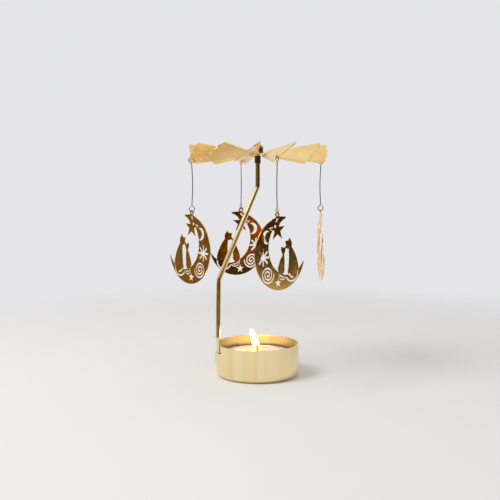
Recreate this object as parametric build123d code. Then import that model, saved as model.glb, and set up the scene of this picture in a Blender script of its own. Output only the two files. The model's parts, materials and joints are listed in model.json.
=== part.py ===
from build123d import *
from math import asin, atan2, cos, degrees, hypot, radians, sin, sqrt, tan
import os

# Tealight carousel: a drawn cup with a tealight, a bent stem beside it, and a heat-driven fan wheel
# that turns on the stem's needle and carries four stamped charms on wire hangers.
# Millimetres, +Z up. The origin is the centre of the cup's bottom face. The stem is on the -X side.

os.makedirs("parts", exist_ok=True)

overrun = 2.0                 # how far a cutting tool runs past what it cuts

# Cup
cup_clearance = 7.0           # across the cup, beside the tealight's rim
cup_height = 18.2
cup_wall = 0.5
cup_corner_radius = 3.4
corner_flats = 1              # straight flats in a rounded corner, touching its round
strap_base = 8.4              # lower edge of the strap lanced out of the wall
strap_height = 5.8
strap_end_angle = 13.0        # degrees either side of the stem
strap_flat_angle = 8.0

# Stem
rod_diameter = 2.7
tongue_thickness = 0.5
tongue_width = 4.0
tongue_base = 8.0
tongue_taper = 2.4            # length over which the round rod is swaged flat
shoulder_height = 23.4
slip_fit = 0.05               # between the tongue and the cup
lower_bend_height = 54.5
lower_bend_reach = 22.6
upper_bend_drop = 18.0        # below the fan
bend_radius = 6.0
stem_top_gap = 1.6            # from the top of the rod to the underside of the fan

# Needle and collar
collar_diameter = 3.4
collar_length = 4.2
collar_gap = 0.7              # from the top of the collar to the underside of the fan
needle_diameter = 1.0
needle_socket_depth = 6.0
needle_cone_length = 1.6
needle_tip_gap = 0.05

# Fan wheel
fan_height = 122.5
sheet = 0.4
blade_count = 12
blade_tilt = 36.6
blade_half_angle = 13.1
disc_radius = 37.2
scallop_count = 4
scallop_depth = 0.8
scallop_steps = 2             # short straight cuts in a scallop
hub_flat_radius = 7.5
neck_end_radius = 11.0
neck_steps = 2                # flat folds along a blade's twisted neck
hub_hole_diameter = 2.4

# Pivot cap
cap_diameter = 6.2
cap_rise = 4.9                # above the hub's upper face
cap_wall = 0.45
cap_dome_radius = 2.2
cap_cone_length = 2.8
cap_stem_drop = 0.15          # spun end below the hub

# Hangers
hanger_count = 4
wire_diameter = 0.5
wire_sides = 4                # the fine wire's section is a polygon of this many sides
hook_inner_radius = 1.35
hook_depth = 0.88             # centre of the hook below the strip it hangs on
hook_offset = 4.9             # from the blade's centre line towards its lower edge
strip_width = 1.7             # metal left between the hole and the scalloped tip
hook_hole_diameter = 1.5
wire_bend_radius = 0.6
hook_open_angle = 25.0
loop_inner_radius = 1.25
shank_bow = 0.5               # towards the stem
shank_steps = 4
loop_steps = 12               # short straight bends round the lower loop
hook_end_share = 0.98         # how far round the hook the shank's end lies inside it
charm_pivot_drop = 31.3       # below the fan

# Charms
charm_radius = 18.6
charm_sheet = 0.45
eyelet_radius = 1.5
eyelet_hole_radius = 0.75
eyelet_play = 0.1
eyelet_sides = 10
slit_width = 0.75
thin_slit_width = 0.45
charm_twists = [-20.0, 8.4, 18.9, 23.8]      # degrees about the vertical, hangers 1 to 4
charm_faces = [1, -1, 1, -1]                 # which way round each stamping is hung

# Tealight
tin_diameter = 37.2
tin_height = 12.4
tin_wall = 0.25
tin_bead_diameter = 0.8
wax_level = 12.0              # above the tin's underside
wick_diameter = 1.1
wick_sides = 8
wick_length_above = 5.0
wick_curl_radius = 6.0
sustainer_diameter = 12.5
sustainer_sheet = 0.3
sustainer_neck_diameter = 2.3
sustainer_neck_height = 3.0
sustainer_sides = 16

cup_radius = (tin_diameter + tin_bead_diameter + cup_clearance) / 2 + cup_wall
cup_inner_radius = cup_radius - cup_wall
rod_radius = rod_diameter / 2
wire_radius = wire_diameter / 2
tongue_x = -(cup_radius + slip_fit + tongue_thickness / 2)
upper_bend_height = fan_height - upper_bend_drop
charm_pivot_height = fan_height - charm_pivot_drop
fan_top = fan_height + sheet / 2
fan_bottom = fan_height - sheet / 2
stem_top = fan_bottom - stem_top_gap
collar_top = fan_bottom - collar_gap


def polar(radius, angle):
    return (radius * cos(radians(angle)), radius * sin(radians(angle)))


def turned(points):
    """A body turned about the Z axis from an outline of (radius, height) points."""
    return revolve(Plane.XZ * make_face(Polyline(*points, close=True)), Axis.Z)


def rounding(radius):
    """A quarter round about the origin, from its side to its top, in flats that touch the round."""
    turn = 90 / (corner_flats + 1)
    reach = radius / cos(radians(turn / 2))
    return [polar(reach, turn * (i + 1 / 2)) for i in range(corner_flats + 1)]


def corner_points(wall_radius, floor_height, radius):
    """The rounded corner between a floor and an upright wall, from the floor up."""
    middle = wall_radius - radius
    return [(middle + x, floor_height + radius - z) for x, z in reversed(rounding(radius))]


def skin(low, high):
    """A solid between two flat rings of the same number of points, with a fold across each side.

    The folds on opposite sides run the same way, so that a thin twisted sheet keeps its thickness.
    """
    count = len(low)
    faces = [Face(Wire.make_polygon(low)), Face(Wire.make_polygon(high))]
    for i in range(count):
        j = (i + 1) % count
        near, far = (i, j) if i < count // 2 else (j, i)
        faces.append(Face(Wire.make_polygon([low[i], low[j], high[far]])))
        faces.append(Face(Wire.make_polygon([high[i], high[j], low[near]])))
    return Part() + Solid(Shell(faces))


def save(shape, name):
    shape.label = name
    export_step(shape, "parts/" + name + ".step")


def strap_band(height):
    """The strip of wall that is pressed outwards and holds the stem's tongue, as seen from above."""
    inner = hypot(cup_radius + slip_fit + tongue_thickness, tongue_width / 2) + slip_fit
    outer = inner + cup_wall
    back = 180
    outside = [
        Line(polar(cup_radius, back - strap_end_angle), polar(outer, back - strap_flat_angle)),
        ThreePointArc(polar(outer, back - strap_flat_angle), polar(outer, back),
                      polar(outer, back + strap_flat_angle)),
        Line(polar(outer, back + strap_flat_angle), polar(cup_radius, back + strap_end_angle)),
    ]
    ends = [
        Line(polar(cup_radius, back + strap_end_angle), polar(cup_inner_radius, back + strap_end_angle)),
        Line(polar(cup_inner_radius, back - strap_end_angle), polar(cup_radius, back - strap_end_angle)),
    ]
    inside = [
        Line(polar(cup_inner_radius, back + strap_end_angle), polar(inner, back + strap_flat_angle)),
        ThreePointArc(polar(inner, back + strap_flat_angle), polar(inner, back),
                      polar(inner, back - strap_flat_angle)),
        Line(polar(inner, back - strap_flat_angle), polar(cup_inner_radius, back - strap_end_angle)),
    ]
    return extrude(make_face(outside + ends + inside), height)


def strap_window(height):
    """The opening that the strip leaves in the wall."""
    start = polar(cup_inner_radius - overrun, 180 - strap_end_angle)
    far = cup_radius + overrun
    lines = [
        Line(start, polar(far, 180 - strap_end_angle)),
        ThreePointArc(polar(far, 180 - strap_end_angle), polar(far, 180), polar(far, 180 + strap_end_angle)),
        Line(polar(far, 180 + strap_end_angle), polar(cup_inner_radius - overrun, 180 + strap_end_angle)),
        Line(polar(cup_inner_radius - overrun, 180 + strap_end_angle), start),
    ]
    return extrude(make_face(lines), height)


def make_cup():
    """A drawn cup: flat bottom, rounded corner, straight wall, and a lanced strap for the stem."""
    outside = turned(
        [(0, 0)] + corner_points(cup_radius, 0, cup_corner_radius)
        + [(cup_radius, cup_height), (0, cup_height)]
    )
    rim = cup_height + overrun
    inside = turned(
        [(0, cup_wall)]
        + corner_points(cup_inner_radius, cup_wall, cup_corner_radius - cup_wall)
        + [(cup_inner_radius, rim), (0, rim)]
    )
    cup = outside - inside - Pos(0, 0, strap_base) * strap_window(strap_height)
    return cup + Pos(0, 0, strap_base) * strap_band(strap_height)


def make_stem():
    """A bent rod whose lower end is swaged flat into a tongue and whose top is drilled for the needle."""
    corners = [
        (tongue_x, 0, shoulder_height),
        (-lower_bend_reach, 0, lower_bend_height),
        (0, 0, upper_bend_height),
        (0, 0, stem_top),
    ]
    path = FilletPolyline(*corners, radius=bend_radius)
    start = Plane(origin=path @ 0, x_dir=(1, 0, 0), z_dir=path % 0)
    rod = sweep(start * Circle(rod_radius), path=path)
    flat_top = shoulder_height - tongue_taper
    thick = tongue_thickness / 2
    wide = tongue_width / 2
    quarter = [(thick, wide / 3), (thick, wide)]
    half = quarter + [(-x, y) for x, y in reversed(quarter)]
    flat_ring = half + [(x, -y) for x, y in reversed(half)]
    low = [(tongue_x + x, y, flat_top) for x, y in flat_ring]
    side = 360 / len(low)
    high = []
    for i in range(len(low)):
        x, y = polar(rod_radius, side * (i + 1 / 2))
        high.append((start * Pos(x, y, 0)).position)
    swage = skin(low, high)
    length = flat_top - tongue_base
    tongue = Pos(tongue_x, 0, tongue_base + length / 2) * Box(tongue_thickness, tongue_width, length)
    tongue = fillet(tongue.edges().filter_by(Axis.X).group_by(Axis.Z)[0], tongue_width / 4)
    socket = Pos(0, 0, stem_top - needle_socket_depth) * Cylinder(
        needle_diameter / 2, needle_socket_depth + overrun, align=(Align.CENTER, Align.CENTER, Align.MIN)
    )
    return rod + swage + tongue - socket


def make_collar():
    """The dark collar pressed over the top of the rod. Its closed top holds the needle upright."""
    low = collar_top - collar_length
    body = Pos(0, 0, low) * Cylinder(
        collar_diameter / 2, collar_length, align=(Align.CENTER, Align.CENTER, Align.MIN)
    )
    bore = Pos(0, 0, low - overrun) * Cylinder(
        rod_radius, stem_top - low + overrun, align=(Align.CENTER, Align.CENTER, Align.MIN)
    )
    pin_hole = Pos(0, 0, low) * Cylinder(
        needle_diameter / 2, collar_length + overrun, align=(Align.CENTER, Align.CENTER, Align.MIN)
    )
    return body - bore - pin_hole


def cap_cone_top():
    return fan_top + cap_rise - cap_wall


def make_needle():
    """A steel pin in the top of the stem. The fan turns on its point."""
    low = stem_top - needle_socket_depth
    tip = cap_cone_top() - needle_tip_gap
    shoulder = tip - needle_cone_length
    profile = Polyline(
        (0, low), (needle_diameter / 2, low), (needle_diameter / 2, shoulder), (0, tip), (0, low)
    )
    return revolve(Plane.XZ * make_face(profile), Axis.Z)


def make_cap():
    """The bearing cap in the hub: a turned brass thimble, coned inside, spun over under the hub."""
    top = fan_top + cap_rise
    low = fan_bottom - cap_stem_drop
    outer = cap_diameter / 2
    spigot = hub_hole_diameter / 2
    profile = [(0, low), (spigot, low), (spigot, fan_top), (outer, fan_top)]
    profile += [(outer - cap_dome_radius + x, top - cap_dome_radius + z) for x, z in rounding(cap_dome_radius)]
    profile.append((0, top))
    bore = spigot - cap_wall / 2
    cone_base = cap_cone_top() - cap_cone_length
    hollow = [(0, low - overrun), (bore, low - overrun), (bore, cone_base), (0, cap_cone_top())]
    return turned(profile) - turned(hollow)


# Scalloped tip: equal arcs whose ends lie on the disc and whose crests stand proud of it.
scallop_angle = 2 * blade_half_angle / scallop_count
scallop_chord = disc_radius * sin(radians(scallop_angle / 2))
scallop_rise = disc_radius + scallop_depth - disc_radius * cos(radians(scallop_angle / 2))
scallop_radius = (scallop_chord**2 + scallop_rise**2) / (2 * scallop_rise)


def blade_tip_reach(offset):
    """How far out the first scallop's edge is, at this distance from the blade's centre line."""
    crest_angle = radians(blade_half_angle - scallop_angle / 2)
    centre = disc_radius + scallop_depth - scallop_radius
    across = offset - centre * sin(crest_angle)
    return centre * cos(crest_angle) + sqrt(scallop_radius**2 - across**2)


def blade_width(radius):
    return 2 * radius * tan(radians(blade_half_angle))


def make_blade():
    """One blade along +X: a twisted neck at the hub, then a flat plate to the scalloped tip."""
    side = radians(blade_half_angle)
    root = neck_end_radius * tan(side)
    outline = [(neck_end_radius, root), (neck_end_radius, -root)]
    for i in range(scallop_count):
        first = -blade_half_angle + i * scallop_angle
        scallop = ThreePointArc(polar(disc_radius, first),
                                polar(disc_radius + scallop_depth, first + scallop_angle / 2),
                                polar(disc_radius, first + scallop_angle))
        outline += [scallop @ (k / scallop_steps) for k in range(scallop_steps)]
    outline.append(polar(disc_radius, blade_half_angle))
    plate = extrude(make_face(Polyline(*outline, close=True)), sheet / 2, both=True)
    thick = sheet / 2

    def section(radius, turn):
        half = blade_width(radius) / 2
        corners = [(half, thick), (-half, thick), (-half, -thick), (half, -thick)]
        return [Vector(radius, y, z).rotate(Axis.X, turn) for y, z in corners]

    sections = []
    for i in range(neck_steps + 1):
        share = i / neck_steps
        radius = hub_flat_radius + (neck_end_radius - hub_flat_radius) * share
        sections.append(section(radius, blade_tilt * share))
    blade = Rot(blade_tilt, 0, 0) * plate
    for near, far in zip(sections, sections[1:]):
        blade += skin(near, far)
    return blade


def make_fan():
    """Twelve tilted blades round a flat hub, cut and twisted from one sheet."""
    hub = extrude(RegularPolygon(hub_flat_radius, blade_count, major_radius=False,
                                 rotation=180 / blade_count), sheet / 2, both=True)
    blade = make_blade()
    hole_reach = blade_tip_reach(hook_offset) - strip_width - hook_hole_diameter / 2
    drill = Rot(blade_tilt, 0, 0) * Pos(hole_reach, -hook_offset, 0) * Cylinder(
        hook_hole_diameter / 2, sheet + 2 * overrun
    )
    drilled = blade - drill
    step = blade_count // hanger_count
    wheel = hub
    for i in range(blade_count):
        one = drilled if i % step == 0 else blade
        wheel += Rot(0, 0, i * 360 / blade_count) * one
    wheel -= Cylinder(hub_hole_diameter / 2, sheet + 2 * overrun)
    return Pos(0, 0, fan_height) * wheel


# Where the first hanger's hook bears on the first blade, and where its charm swings.
tilt = radians(blade_tilt)
hook_x = blade_tip_reach(hook_offset) - strip_width / 2
hook_y = -hook_offset * cos(tilt)
hook_z = fan_height - hook_offset * sin(tilt) + sheet / (2 * cos(tilt))
hook_radius = hook_inner_radius + wire_radius
loop_radius = loop_inner_radius + wire_radius


def eye(centre, radius, up):
    """An open ring and the small bend that brings it onto the shank, as edges, shank end last."""
    side = wire_bend_radius
    drop = sqrt((radius + side) ** 2 - side**2)
    lead = degrees(asin(side / (radius + side)))
    flip = 1 if up else -1

    def place(x, z):
        return (centre[0] + flip * x, centre[1] + flip * z)

    def on_ring(angle):
        return place(radius * sin(radians(angle)), -radius * cos(radians(angle)))

    last = 360 - hook_open_angle
    middle = (lead + last) / 2
    share = radius / (radius + side)
    bend_middle = place(side - side * cos(radians((90 - lead) / 2)),
                        -drop + side * sin(radians((90 - lead) / 2)))
    return [
        ThreePointArc(on_ring(last), on_ring(middle), on_ring(lead)),
        ThreePointArc(place(side * share, -drop * share), bend_middle, place(0, -drop)),
    ]


def wire_section(path):
    """The wire's section at the start of a path that is drawn in the XY plane."""
    section = RegularPolygon(wire_radius, wire_sides, rotation=180 / wire_sides)
    return Plane(origin=path @ 0, x_dir=(0, 0, 1), z_dir=path % 0) * section


def bent_ring(arc):
    """Wire bent round an arc that is drawn in the XY plane."""
    centre = arc.arc_center
    turn_axis = Axis(centre, (arc @ 0 - centre).cross(arc % 0))
    return revolve(wire_section(arc), turn_axis, degrees(arc.length / arc.radius))


def make_hanger():
    """A bowed wire with an open eye at each end, in the upright plane along the blade."""
    top_ring, top_bend = eye((hook_x, hook_z - hook_depth), hook_radius, True)
    low_ring, low_bend = eye((hook_x, charm_pivot_height + loop_radius), loop_radius, False)
    high = top_bend @ 1
    low = low_bend @ 1
    bow = ThreePointArc(high, (high + low) / 2 - Vector(shank_bow, 0), low)
    points = [top_ring @ hook_end_share, top_bend @ 0, top_bend @ (1 / 2)]
    points += [bow @ (i / shank_steps) for i in range(shank_steps + 1)]
    points.append(low_bend @ (1 / 2))
    points += [low_ring @ (1 - i / loop_steps) for i in range(loop_steps + 1)]
    path = Polyline(*points)
    shank = sweep(wire_section(path), path=path, transition=Transition.RIGHT)
    return Pos(0, hook_y, 0) * Plane.XZ.location * (bent_ring(top_ring) + shank)


# Charm outline, as shares of the crescent's outer radius, measured from that circle's centre.
crescent_hole_place_share = (-0.306, 0.183)
crescent_hole_radius_share = 0.780
crescent_sides = 36
crescent_brow_shares = [(-0.215, 1.020), (0.060, 1.035), (0.300, 0.970), (0.380, 0.900), (0.020, 0.890)]
crescent_trim_shares = [(-0.215, 1.020), (0.000, 0.935), (-0.100, 0.900), (-0.350, 0.900), (-0.350, 1.000)]
eyelet_place_share = (0.113, 1.085)
star_place_share = (0.113, 0.665)
star_radius_share = 0.312
big_cat_body_shares = [
    (-0.455, 0.170), (-0.640, -0.110), (-0.730, -0.380), (-0.660, -0.600), (-0.470, -0.700),
    (-0.320, -0.610), (-0.320, -0.430), (-0.355, -0.160), (-0.340, 0.130),
]
big_cat_head_shares = [
    (-0.455, 0.140), (-0.470, 0.290), (-0.425, 0.360), (-0.365, 0.430), (-0.330, 0.355),
    (-0.195, 0.345), (-0.225, 0.235), (-0.175, 0.165), (-0.300, 0.115),
]
small_cat_body_shares = [
    (-0.090, 0.010), (0.030, -0.200), (0.100, -0.400), (0.060, -0.520), (-0.060, -0.570),
    (-0.135, -0.510), (-0.150, -0.400), (-0.160, -0.220), (-0.140, 0.000),
]
small_cat_head_shares = [
    (-0.150, -0.020), (-0.200, 0.090), (-0.215, 0.180), (-0.120, 0.165), (-0.045, 0.200),
    (-0.035, 0.080), (-0.070, -0.010),
]
moon_outer_place_share = (0.535, 0.490)
moon_outer_radius_share = 0.180
moon_inner_place_share = (0.437, 0.484)
moon_inner_radius_share = 0.162
moon_sides = 12
flower_place_share = (0.680, -0.050)
flower_ray_share = 0.210
flower_ray_count = 8
spiral_place_share = (0.490, -0.530)
spiral_radius_share = 0.225
spiral_pitch_share = 0.090
spiral_half_turns = 4
spiral_steps = 3              # short straight cuts in each half turn
arc_steps = 3                 # and in each other small arc
little_star_place_share = (0.108, -0.795)
little_star_radius_share = 0.140
drop_shares = [(0.075, 0.985), (0.135, 0.975), (0.190, 0.880), (0.120, 0.905)]
dot_place_share = (0.200, 0.765)
dot_radius_share = 0.040
dot_sides = 6
mark_shares = [(0.300, 0.745), (0.440, 0.725), (0.345, 0.665)]
big_tail_shares = [(-0.715, -0.530), (-0.430, -0.795), (-0.240, -0.680)]
big_paw_shares = [(-0.500, -0.690), (-0.430, -0.665), (-0.345, -0.600)]
small_tail_shares = [(0.085, -0.520), (-0.060, -0.715), (-0.205, -0.660)]
small_paw_shares = [(0.040, -0.560), (-0.060, -0.640), (-0.150, -0.640)]
chest_slit_shares = [(-0.240, -0.420), (-0.190, -0.520), (-0.120, -0.560)]


def at(share):
    return (share[0] * charm_radius, share[1] * charm_radius)


def star(radius, turn):
    """A regular five-pointed star."""
    inner = radius * sin(radians(18)) / sin(radians(54))
    points = []
    for i in range(5):
        points.append(polar(radius, turn + 90 + 72 * i))
        points.append(polar(inner, turn + 126 + 72 * i))
    return make_face(Polyline(*points, close=True))


def arc_outline(shares):
    """An outline that follows arcs, each through three points, in short straight cuts."""
    points = [at(s) for s in shares]
    outline = []
    for i in range(0, len(points) - 2, 2):
        arc = ThreePointArc(*points[i:i + 3])
        outline += [arc @ (k / arc_steps) for k in range(arc_steps)]
    return make_face(Polyline(*outline, points[-1], close=True))


def straight_outline(shares):
    return make_face(Polyline(*[at(s) for s in shares], close=True))


def arc_slit(shares, width):
    """A slit of even width that follows an arc through three points in short straight cuts."""
    arc = ThreePointArc(*[at(s) for s in shares])
    return trace(Polyline(*[arc @ (k / arc_steps) for k in range(arc_steps + 1)]), line_width=width)


def spiral_slit():
    """A spiral slit of half turns, each smaller than the one before by half the pitch."""
    radius = spiral_radius_share * charm_radius
    pitch = spiral_pitch_share * charm_radius
    start = -radius
    side = 1
    points = [(start, 0)]
    for i in range(spiral_half_turns):
        end = start + side * 2 * radius
        middle = ((start + end) / 2, -side * radius)
        arc = ThreePointArc((start, 0), middle, (end, 0))
        points += [arc @ ((k + 1) / spiral_steps) for k in range(spiral_steps)]
        start = end
        side = -side
        radius -= pitch / 2
    return trace(Polyline(*points), line_width=slit_width)


def flower():
    """A flower of narrow rays."""
    ray_pair = Rectangle(2 * flower_ray_share * charm_radius, slit_width)
    shape = ray_pair
    for i in range(1, flower_ray_count // 2):
        shape += Rot(0, 0, i * 360 / flower_ray_count) * ray_pair
    return shape


def charm_face():
    """The stamped outline: a crescent with a star and two sitting cats, and its cut-outs."""
    hole_place = Pos(*at(crescent_hole_place_share))
    hole = RegularPolygon(crescent_hole_radius_share * charm_radius, crescent_sides)
    face = RegularPolygon(charm_radius, crescent_sides) - hole_place * hole
    face += straight_outline(crescent_brow_shares)
    face -= straight_outline(crescent_trim_shares)
    face += Pos(*at(star_place_share)) * star(star_radius_share * charm_radius, 0)
    face += arc_outline(big_cat_body_shares)
    face += straight_outline(big_cat_head_shares)
    face += arc_outline(small_cat_body_shares)
    face += straight_outline(small_cat_head_shares)
    face += Pos(*at(eyelet_place_share)) * RegularPolygon(eyelet_radius, eyelet_sides)
    moon = Pos(*at(moon_outer_place_share)) * RegularPolygon(moon_outer_radius_share * charm_radius, moon_sides)
    moon -= Pos(*at(moon_inner_place_share)) * RegularPolygon(moon_inner_radius_share * charm_radius, moon_sides)
    face -= moon
    face -= Pos(*at(flower_place_share)) * flower()
    face -= Pos(*at(spiral_place_share)) * spiral_slit()
    face -= Pos(*at(little_star_place_share)) * star(little_star_radius_share * charm_radius, 0)
    face -= straight_outline(drop_shares)
    face -= Pos(*at(dot_place_share)) * RegularPolygon(dot_radius_share * charm_radius, dot_sides)
    face -= trace(Polyline(*[at(s) for s in mark_shares]), line_width=thin_slit_width)
    face -= arc_slit(big_tail_shares, slit_width)
    face -= arc_slit(big_paw_shares, slit_width)
    face -= arc_slit(small_tail_shares, thin_slit_width)
    face -= arc_slit(small_paw_shares, thin_slit_width)
    face -= arc_slit(chest_slit_shares, thin_slit_width)
    face -= Pos(*at(eyelet_place_share)) * Circle(eyelet_hole_radius)
    return face


def make_charm(flat, face_way):
    """One charm under its pivot at the origin, in the YZ plane, turned so that its weight hangs below."""
    plate = extrude(flat, charm_sheet / 2, both=True)
    eyelet = at(eyelet_place_share)
    plate = Pos(-eyelet[0], -eyelet[1], 0) * plate
    hole_drop = eyelet_hole_radius - wire_radius - eyelet_play
    plate = Pos(0, -hole_drop, 0) * plate
    weight = plate.center(CenterOf.MASS)
    lean = degrees(atan2(weight.X, -weight.Y))
    plate = Rot(0, 0, -lean) * plate
    upright = Plane(origin=(0, 0, 0), x_dir=(0, face_way, 0), z_dir=(face_way, 0, 0))
    return upright.location * plate


def tin_cavity():
    """The space inside the tin."""
    return Pos(0, 0, tin_wall) * Cylinder(
        tin_diameter / 2 - tin_wall, tin_height, align=(Align.CENTER, Align.CENTER, Align.MIN)
    )


def make_tin():
    """A pressed aluminium tin with a rolled rim."""
    radius = tin_diameter / 2
    lip = radius + tin_bead_diameter / 2
    lip_base = tin_height - tin_bead_diameter
    outline = [(0, 0), (radius, 0), (radius, lip_base), (lip, lip_base), (lip, tin_height), (0, tin_height)]
    return turned(outline) - tin_cavity()


def make_sustainer():
    """The steel foot that the wick stands in."""
    foot = extrude(RegularPolygon(sustainer_diameter / 2, sustainer_sides), sustainer_sheet)
    neck = extrude(RegularPolygon(sustainer_neck_diameter / 2, sustainer_sides // 2), sustainer_neck_height)
    bore = extrude(RegularPolygon(wick_diameter / 2, wick_sides), sustainer_neck_height)
    return Pos(0, 0, tin_wall) * (foot + neck - Pos(0, 0, sustainer_sheet) * bore)


def make_wick():
    """A braided wick, upright in the wax and curling over where it burns."""
    low = tin_wall + sustainer_sheet
    top = wax_level + wick_length_above
    straight = wax_level + wick_length_above / 2
    curl = degrees((top - straight) / wick_curl_radius)
    path = Line((0, 0, low), (0, 0, straight)) + RadiusArc(
        (0, 0, straight),
        (-wick_curl_radius * (1 - cos(radians(curl))), 0, straight + wick_curl_radius * sin(radians(curl))),
        wick_curl_radius,
    )
    return sweep(Pos(0, 0, low) * RegularPolygon(wick_diameter / 2, wick_sides), path=path)


def make_wax(sustainer, wick):
    """The wax fills the tin round the wick and its foot."""
    cut = Pos(0, 0, wax_level) * Cylinder(
        cup_radius, tin_height, align=(Align.CENTER, Align.CENTER, Align.MIN)
    )
    return tin_cavity() - cut - sustainer - wick


save(make_cup(), "cup")
save(make_stem(), "stem")
save(make_collar(), "stem_collar")
save(make_needle(), "pivot_needle")
save(make_fan(), "fan_wheel")
save(make_cap(), "pivot_cap")

hanger = make_hanger()
flat_charm = charm_face()
for i in range(hanger_count):
    turn = Rot(0, 0, i * 360 / hanger_count)
    save(turn * hanger, "hanger_" + str(i + 1))
    charm = make_charm(flat_charm, charm_faces[i])
    hung = Pos(hook_x, hook_y, charm_pivot_height) * Rot(0, 0, charm_twists[i]) * charm
    save(turn * hung, "charm_" + str(i + 1))

tin_place = Pos(0, 0, cup_wall)
sustainer = make_sustainer()
wick = make_wick()
save(tin_place * make_tin(), "tealight_tin")
save(tin_place * sustainer, "wick_sustainer")
save(tin_place * wick, "tealight_wick")
save(tin_place * make_wax(sustainer, wick), "tealight_wax")

print("hook centre", hook_x, hook_y, hook_z - hook_depth)
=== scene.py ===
"""Looks of the tealight carousel: fine pieces, materials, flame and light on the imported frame."""

import cmath
import json
import math

import bmesh
import bpy
from mathutils import Euler, Matrix, Vector
from mathutils.geometry import delaunay_2d_cdt


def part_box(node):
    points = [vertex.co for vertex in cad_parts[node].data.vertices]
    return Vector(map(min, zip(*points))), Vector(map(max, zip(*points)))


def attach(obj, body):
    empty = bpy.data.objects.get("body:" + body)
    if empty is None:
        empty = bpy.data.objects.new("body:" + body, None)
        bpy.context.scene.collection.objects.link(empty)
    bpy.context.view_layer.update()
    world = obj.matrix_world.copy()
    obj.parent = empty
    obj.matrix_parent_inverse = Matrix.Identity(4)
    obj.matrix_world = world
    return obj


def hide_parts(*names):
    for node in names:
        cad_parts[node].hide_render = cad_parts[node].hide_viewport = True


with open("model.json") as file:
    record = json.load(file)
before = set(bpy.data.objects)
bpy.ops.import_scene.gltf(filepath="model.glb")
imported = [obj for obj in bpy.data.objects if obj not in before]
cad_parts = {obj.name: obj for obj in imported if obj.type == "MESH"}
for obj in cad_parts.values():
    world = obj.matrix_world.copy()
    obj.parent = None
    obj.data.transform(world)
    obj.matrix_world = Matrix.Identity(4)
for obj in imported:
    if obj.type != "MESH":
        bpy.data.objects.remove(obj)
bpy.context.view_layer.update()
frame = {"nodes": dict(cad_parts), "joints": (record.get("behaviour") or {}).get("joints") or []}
nodes = frame["nodes"]
joint_place = {j["name"]: Vector(j["pos_m"]) for j in frame["joints"] if j.get("pos_m")}
joint_axis = {j["name"]: Vector(j["axis"]) for j in frame["joints"]}

MM = 0.001

# Level directions, named as the camera sees them
picture_left = (-0.932, 0.362, 0)
picture_right = (0.932, -0.362, 0)
picture_away = (0.362, 0.932, 0)


# Node helpers
def new_material(name):
    """A material without any nodes yet, and its node tree."""
    material = bpy.data.materials.new(name)
    material.use_nodes = True
    tree = material.node_tree
    tree.nodes.clear()
    return material, tree


def add(tree, kind, **values):
    """A new node; in_Some_Name sets the input Some Name, and any other value is the node's own setting."""
    node = tree.nodes.new(kind)
    for key, value in values.items():
        if key.startswith("in_"):
            node.inputs[key[3:].replace("_", " ")].default_value = value
        else:
            setattr(node, key, value)
    return node


def feed(tree, source, target):
    """Links an output to an input, or sets the input when the source is a plain value."""
    if isinstance(source, bpy.types.NodeSocket):
        tree.links.new(source, target)
    else:
        target.default_value = source


def show(tree, shader, kind="ShaderNodeOutputMaterial"):
    """Makes a shader the surface of the material, or of the world."""
    output = add(tree, kind)
    feed(tree, shader, output.inputs["Surface"])


def coordinates(tree, scale=(1, 1, 1)):
    """Places in the object's own frame, in metres times the scale."""
    where = add(tree, "ShaderNodeTexCoord")
    mapping = add(tree, "ShaderNodeMapping", in_Scale=scale)
    feed(tree, where.outputs["Object"], mapping.inputs["Vector"])
    return mapping.outputs["Vector"]


def height_of(tree, vector):
    apart = add(tree, "ShaderNodeSeparateXYZ")
    feed(tree, vector, apart.inputs["Vector"])
    return apart.outputs["Z"]


def from_axis(tree, place):
    """Distance from the object's upright axis."""
    flat = add(tree, "ShaderNodeVectorMath", operation="MULTIPLY")
    feed(tree, place, flat.inputs[0])
    feed(tree, (1, 1, 0), flat.inputs[1])
    radius = add(tree, "ShaderNodeVectorMath", operation="LENGTH")
    feed(tree, flat.outputs["Vector"], radius.inputs[0])
    return radius.outputs["Value"]


def facing(tree, direction, heading):
    """How far a direction agrees with a heading, from -1 to 1."""
    node = add(tree, "ShaderNodeVectorMath", operation="DOT_PRODUCT")
    feed(tree, direction, node.inputs[0])
    feed(tree, heading, node.inputs[1])
    return node.outputs["Value"]


def noise(tree, vector, scale, detail=3.0, roughness=0.5):
    node = add(tree, "ShaderNodeTexNoise", in_Scale=scale, in_Detail=detail, in_Roughness=roughness)
    feed(tree, vector, node.inputs["Vector"])
    return node.outputs["Fac"]


def ramp(tree, factor, stops):
    """Colour by factor, from stops of (position, colour)."""
    node = add(tree, "ShaderNodeValToRGB")
    elements = node.color_ramp.elements
    while len(elements) < len(stops):
        elements.new(0.5)
    for element, (position, colour) in zip(elements, stops):
        element.position = position
        element.color = (*colour, 1)
    feed(tree, factor, node.inputs["Fac"])
    return node.outputs["Color"]


def spread(tree, value, low, high, to_low, to_high):
    """One number below the lower limit, another above the upper one, and a smooth step between."""
    node = add(tree, "ShaderNodeMapRange", interpolation_type="SMOOTHSTEP", in_From_Min=low,
               in_From_Max=high, in_To_Min=to_low, in_To_Max=to_high)
    feed(tree, value, node.inputs["Value"])
    return node.outputs["Result"]


def rising(tree, value, low, high):
    return spread(tree, value, low, high, 0.0, 1.0)


def falling(tree, value, low, high):
    return spread(tree, value, low, high, 1.0, 0.0)


def combine(tree, operation, *values):
    """One number from two or three by a math node."""
    node = add(tree, "ShaderNodeMath", operation=operation)
    for value, target in zip(values, node.inputs):
        feed(tree, value, target)
    return node.outputs["Value"]


def mixed(tree, kind, factor, first, second):
    """The first colour (RGBA) or number (FLOAT) where the factor is 0, the second where it is 1."""
    node = add(tree, "ShaderNodeMix", data_type=kind)
    feed(tree, factor, node.inputs["Factor"])
    feed(tree, first, node.inputs["A"])
    feed(tree, second, node.inputs["B"])
    return node.outputs["Result"]


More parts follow.
